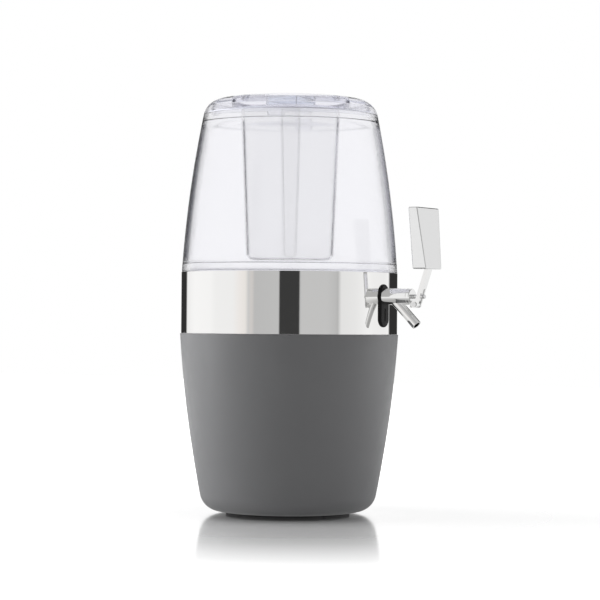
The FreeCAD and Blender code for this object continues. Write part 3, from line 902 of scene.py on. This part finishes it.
def lid_shoulder(foot_r, top_r, top, radius):
    """The lid's drafted side and rounded shoulder, from its foot to its flat top."""
    lean = math.atan2(foot_r - top_r, top - DOME_TOP)
    centre_z = top - radius
    side_r = foot_r - (centre_z - DOME_TOP) * math.tan(lean)
    centre = (side_r - radius / math.cos(lean), centre_z)
    shoulder = arc(centre, radius, math.degrees(lean), 90, SHOULDER_STEPS)
    return [(foot_r, DOME_TOP + HAIR), *shoulder]


def make_lid():
    """The clear lid, open in the middle, with its lugged plug and the ledge for the tube."""
    outer = lid_shoulder(DOME_TOP_R, DOME_TOP_R - LID_DRAFT, LID_TOP, LID_ROUND)
    under = LID_TOP - LID_WALL
    inner = lid_shoulder(
        DOME_TOP_R - LID_WALL,
        DOME_TOP_R - LID_DRAFT - LID_WALL,
        under,
        LID_ROUND - LID_WALL,
    )
    ledge_top = LEDGE_TOP - HAIR
    ledge_low = LEDGE_TOP - LEDGE_T
    collar_out = COLLAR_R + COLLAR_WALL
    plug_in = PLUG_R - PLUG_WALL
    landing = [p for p in inner if p[0] > PLUG_R]
    landing_z = landing[-1][1]
    lug_half = LUG_HALF / PLUG_R

    def outline(angle):
        lugged = off_nearest(angle, LUG_TURN, LUG_COUNT) < lug_half
        plug_low = LID_LOW if lugged else DOME_TOP - PLUG_DEPTH
        return [
            *outer,
            (COLLAR_R, LID_TOP),
            (COLLAR_R, ledge_top),
            (LEDGE_R, ledge_top),
            (LEDGE_R, ledge_low),
            (collar_out, ledge_low),
            (collar_out, under),
            (plug_in, under),
            (plug_in, plug_low),
            (PLUG_R, plug_low),
            (PLUG_R, landing_z),
            *landing[::-1],
        ]

    return show(lathe("lid", outline, NOTCHED_SEGMENTS), "lid_cover")


def make_ice_tube():
    """The tapered tube, with a grooved flange that hangs on the lid's ledge."""
    outer = bowed_side((TUBE_FOOT_R, TUBE_LOW), (TUBE_R, LEDGE_TOP), STRAIGHT, TUBE_CORNER)
    inner = bowed_side(
        (TUBE_FOOT_R - TUBE_WALL, TUBE_LOW + TUBE_WALL),
        (TUBE_R - TUBE_WALL, LEDGE_TOP),
        STRAIGHT,
        TUBE_CORNER - TUBE_WALL,
    )
    groove_top = LEDGE_TOP + GROOVE_DEPTH
    top = TUBE_TOP - HAIR
    flange = [
        (GROOVE_IN_R, LEDGE_TOP),
        (GROOVE_IN_R, groove_top),
        (GROOVE_OUT_R, groove_top),
        (GROOVE_OUT_R, LEDGE_TOP),
        (FLANGE_R, LEDGE_TOP),
        (FLANGE_R, top),
        (TUBE_R - TUBE_WALL, top),
    ]
    outline = [(0, TUBE_LOW), *outer, *flange, *inner[::-1], (0, TUBE_LOW + TUBE_WALL)]
    return show(lathe("tube", outline, closed=False), "ice_tube")


def make_ice_cap():
    """The dished cap, with a plug that carries a ring in a groove."""
    plug_in = CAP_PLUG_R - CAP_PLUG_WALL
    groove_r = CAP_PLUG_R - CAP_PLUG_WALL / 2
    rim_in = FLANGE_R - CAP_WALL
    floor = TUBE_TOP + CAP_T
    outline = [
        (0, TUBE_TOP),
        (plug_in, TUBE_TOP),
        (plug_in, CAP_LOW),
        (CAP_PLUG_R, CAP_LOW),
        (CAP_PLUG_R, CAP_RING_LOW),
        (groove_r, CAP_RING_LOW),
        (groove_r, CAP_RING_TOP),
        (CAP_PLUG_R, CAP_RING_TOP),
        (CAP_PLUG_R, TUBE_TOP),
        (FLANGE_R, TUBE_TOP),
        (FLANGE_R, CAP_TOP),
        (rim_in, CAP_TOP),
        (rim_in, floor),
        (0, floor),
    ]
    return show(lathe("cap", outline, closed=False), "ice_cap")


def make_ice_core():
    """The tapered finger in the middle of the ice tube, hollow and open at its top."""
    tip = CORE_FOOT_R - HAIR
    top = TUBE_TOP - HAIR
    outer = bowed_side((CORE_FOOT_R, CORE_LOW), (CORE_R, top), STRAIGHT, tip)
    inner = bowed_side(
        (CORE_FOOT_R - CORE_WALL, CORE_LOW + CORE_WALL),
        (CORE_R - CORE_WALL, top),
        STRAIGHT,
        tip - CORE_WALL,
    )
    outline = [(0, CORE_LOW), *outer, *inner[::-1], (0, CORE_LOW + CORE_WALL)]
    return show(lathe("core", outline, SLIM_SEGMENTS, closed=False), "ice_core")


def make_grip():
    """The block on the cap, hollow and open at its foot."""
    def box_rings(work, half_x, half_y, top, corner):
        outline = []
        for side_x, side_y, start in ((1, 1, 0), (-1, 1, 90), (-1, -1, 180), (1, -1, 270)):
            centre = (side_x * (half_x - corner), side_y * (half_y - corner))
            outline += arc(centre, corner, start, start + 90, GRIP_STEPS)
        return [row(work, [(x, y, z) for x, y in outline]) for z in (GRIP_LOW + HAIR, top)]

    def build(work):
        outer = box_rings(work, GRIP_HALF_X, GRIP_HALF_Y, GRIP_TOP, GRIP_ROUND)
        inner = box_rings(
            work,
            GRIP_HALF_X - GRIP_WALL,
            GRIP_HALF_Y - GRIP_WALL,
            GRIP_TOP - GRIP_WALL,
            GRIP_ROUND / 2,
        )
        for foot, top in (outer, inner):
            strip(work, foot, top)
            work.faces.new(top)
        strip(work, outer[0], inner[0])

    return show(mesh_from("grip", build), "grip_block")


def threaded(radius, start, end):
    """Points (r, u) along a threaded stretch, as ridges of the thread's pitch."""
    points = []
    ridges = int((end - start) / THREAD_PITCH)
    for ridge in range(ridges):
        u = start + ridge * THREAD_PITCH
        points.append((radius - THREAD_DEPTH, u))
        for share in THREAD_CREST:
            points.append((radius, u + THREAD_PITCH * share))
    points.append((radius - THREAD_DEPTH, start + ridges * THREAD_PITCH))
    return points


def spout_mesh(outline, closed=True):
    """A mesh turned about the spout's slanted axis."""
    mesh = lathe("spout", outline, SLIM_SEGMENTS, closed)
    start = Matrix.Translation((0, -(TAP_START + SPOUT_START) * MM, TAP_Z * MM))
    mesh.transform(start @ Matrix.Rotation(SPOUT_SLANT, 4, "X"))
    return mesh


def make_tap_body():
    """The tap's body, open at both ends, with its threaded shank and a turned ring."""
    ring_end = TAP_END - TAP_RING_BACK
    ring_start = ring_end - TAP_RING_WIDTH
    ring_r = TAP_R - TAP_RING_DEPTH
    seat = TAP_START + CHAMBER_START
    outline = [
        (INLET_R, SHANK_END),
        (SHANK_R - 2 * THREAD_DEPTH, SHANK_END),
        *threaded(SHANK_R, SHANK_END + THREAD_LEAD, TAP_START - THREAD_STOP),
        (SHANK_R, TAP_START - SHANK_PLAIN),
        (SHANK_R, TAP_START),
        (TAP_R, TAP_START),
        (TAP_R, ring_start),
        (ring_r, ring_start),
        (ring_r, ring_end),
        (TAP_R, ring_end),
        (TAP_R, TAP_END),
        (CHAMBER_R, TAP_END),
        (CHAMBER_R, seat),
        (INLET_R, seat),
    ]
    piece = show(out_of_front(lathe("tap", outline, TAP_SEGMENTS)), "tap_body")
    root = [
        (0, 0),
        (SPOUT_ROOT_R, 0),
        (SPOUT_R, SPOUT_ROOT),
        (SPOUT_R, SPOUT_CUT),
        (0, SPOUT_CUT),
    ]
    carve(piece, spout_mesh(root, closed=False))
    return piece


def make_spout():
    """The slanted spout, whose root is cut to the tap's chamber."""
    start_r = SPOUT_ROOT_R + (SPOUT_R - SPOUT_ROOT_R) * SPOUT_CLIP / SPOUT_ROOT
    outline = [
        (SPOUT_PASSAGE_R, SPOUT_CLIP),
        (start_r, SPOUT_CLIP),
        (SPOUT_R, SPOUT_ROOT),
        (SPOUT_R, SPOUT_REACH),
        (SPOUT_BORE_R, SPOUT_REACH),
        (SPOUT_BORE_R, SPOUT_ROOT),
        (SPOUT_PASSAGE_R, SPOUT_ROOT),
    ]
    piece = show(spout_mesh(outline), "spout_tube")
    carve(piece, bore(CHAMBER_R, TAP_START + CHAMBER_START, CHAMBER_CUT, SLIM_SEGMENTS))
    return piece


def make_nut():
    """The hexagon nut, whose corners are trimmed at both ends."""
    corner_r = NUT_FLATS / math.sqrt(3)
    side_turn = ROUND / NUT_SIDES

    def outline(angle):
        flat = NUT_FLATS / 2 / math.cos(angle % side_turn - side_turn / 2)
        full = min(flat, corner_r)
        trimmed = min(flat, corner_r - NUT_TRIM)
        return [
            (trimmed, NUT_BACK),
            (full, NUT_BACK + NUT_CHAMFER),
            (full, NUT_FRONT - NUT_CHAMFER),
            (trimmed, NUT_FRONT),
            (SHANK_R, NUT_FRONT),
            (SHANK_R, NUT_BACK),
        ]

    return show(out_of_front(lathe("nut", outline, NUT_SEGMENTS)), "tap_nut")


def make_paddle():
    """The lever's paddle, narrow and thick at its foot, broad and thin at its top."""
    def build(work):
        levels = (
            (PADDLE_LOW, PADDLE_FRONT - PADDLE_FOOT_T, PADDLE_FRONT, PADDLE_FOOT_HALF),
            (PADDLE_TOP, PADDLE_BACK, PADDLE_BACK + PADDLE_TOP_T, PADDLE_HALF),
        )
        rings = []
        for z, back, front, half in levels:
            corners = ((-half, -back), (-half, -front), (half, -front), (half, -back))
            rings.append(row(work, [(x, y, z) for x, y in corners]))
            work.faces.new(rings[-1])
        strip(work, *rings)

    return show(mesh_from("paddle", build), "lever_paddle")


# The pieces that take the place of CAD nodes, with the width and segments of their rounded edges
SKINS = (
    (make_stand, 0.6, 3),
    (make_foot, 0.3, 2),
    (make_band, 0.25, 2),
    (make_dome, 0.8, 4),
    (make_lid, 0.5, 3),
    (make_ice_tube, 0.4, 3),
    (make_ice_cap, 0.5, 3),
    (make_ice_core, 0.3, 2),
    (make_grip, 0.6, 4),
    (make_tap_body, 0.25, 3),
    (make_spout, 0.35, 3),
    (make_nut, 0.2, 2),
    (make_paddle, 1.4, 8),
)


def add_floor():
    """A floor near white to the camera, with the shadow and a mirror image that fades outward."""
    def build(work):
        corners = ((-1, -1), (1, -1), (1, 1), (-1, 1))
        work.faces.new(row(work, [(x * FLOOR_HALF, y * FLOOR_HALF, 0) for x, y in corners]))

    material, tree = new_material("floor")
    path = node(tree, "ShaderNodeLightPath").outputs
    place = node(tree, "ShaderNodeTexCoord").outputs["Object"]
    away = computed(tree, "LENGTH", place, kind="ShaderNodeVectorMath")

    def glowing(colour):
        return node(tree, "ShaderNodeEmission", Color=colour, Strength=1.0).outputs["Emission"]

    matt = node(tree, "ShaderNodeBsdfDiffuse", Color=colour_of(FLOOR_TONE)).outputs["BSDF"]
    lift = glowing(ramp(tree, away, FLOOR_LIFT))
    lit = ordered_node(tree, "ShaderNodeAddShader", (matt, lift)).outputs["Shader"]
    roughness = uneven(tree, noise(tree, FLOOR_WAVES), FLOOR_ROUGH)
    sheen = node(tree, "ShaderNodeBsdfGlossy", Color=colour_of(1), Roughness=roughness)
    to_camera = either(tree, ramp(tree, away, FLOOR_SHEEN), lit, sheen.outputs["BSDF"])
    shader = either(tree, path["Is Camera Ray"], matt, to_camera)
    # Mirrors see the floor as a painted glow, dimmer near the axis as painted shade
    shader = either(tree, path["Is Glossy Ray"], shader, glowing(ramp(tree, away, FLOOR_GLOW)))
    shader = either(tree, path["Is Transmission Ray"], shader, glowing(colour_of(1)))
    finish_with(tree, shader)
    floor = placed("floor", mesh_from("floor", build))
    floor.data.materials.append(material)


def add_world():
    """White to the camera, and a studio whose cards stand round the object to other rays."""
    world = bpy.data.worlds.new("studio")
    bpy.context.scene.world = world
    world.use_nodes = True
    tree = world.node_tree
    tree.nodes.clear()
    way = node(tree, "ShaderNodeTexCoord").outputs["Generated"]

    def along(axis):
        return computed(tree, "DOT_PRODUCT", way, axis, kind="ShaderNodeVectorMath")

    turn = computed(tree, "ARCTAN2", along(RIGHT), along(TO_CAMERA))
    turn = computed(tree, "DEGREES", turn)
    rise = computed(tree, "DEGREES", computed(tree, "ARCSINE", along(UP)))

    def rising(fade, below, above):
        return blended(tree, ranged(tree, rise, fade, (0, 1)), below, above)

    path = node(tree, "ShaderNodeLightPath").outputs
    mirrored = rising(CARD_FADE, ramp(tree, turn, CARDS), ramp(tree, rise, OVERHEAD))
    again = computed(tree, "GREATER_THAN", path["Ray Depth"], SECOND_DEPTH)
    mirrored = blended(tree, again, mirrored, SECOND_MIRROR)
    low_row = ramp(tree, turn, THROUGH_CARDS)
    through = rising(THROUGH_RISE, low_row, ramp(tree, turn, THROUGH_HIGH))
    through = rising(THROUGH_FADE, through, ramp(tree, rise, THROUGH_OVERHEAD))
    seen = blended(tree, path["Is Glossy Ray"], AMBIENT, mirrored)
    seen = blended(tree, path["Is Transmission Ray"], seen, through)
    seen = blended(tree, path["Is Camera Ray"], seen, 1.0)
    back = node(tree, "ShaderNodeBackground", Color=seen)
    node(tree, "ShaderNodeOutputWorld", Surface=back.outputs["Background"])


add_camera()
dress_cad_nodes()
for make_piece, width, segments in SKINS:
    soften(make_piece(), width, segments)
add_floor()
add_world()
for lamp in LAMPS:
    add_lamp(*lamp)
set_light_paths()
bpy.context.scene.view_settings.view_transform = "Standard"
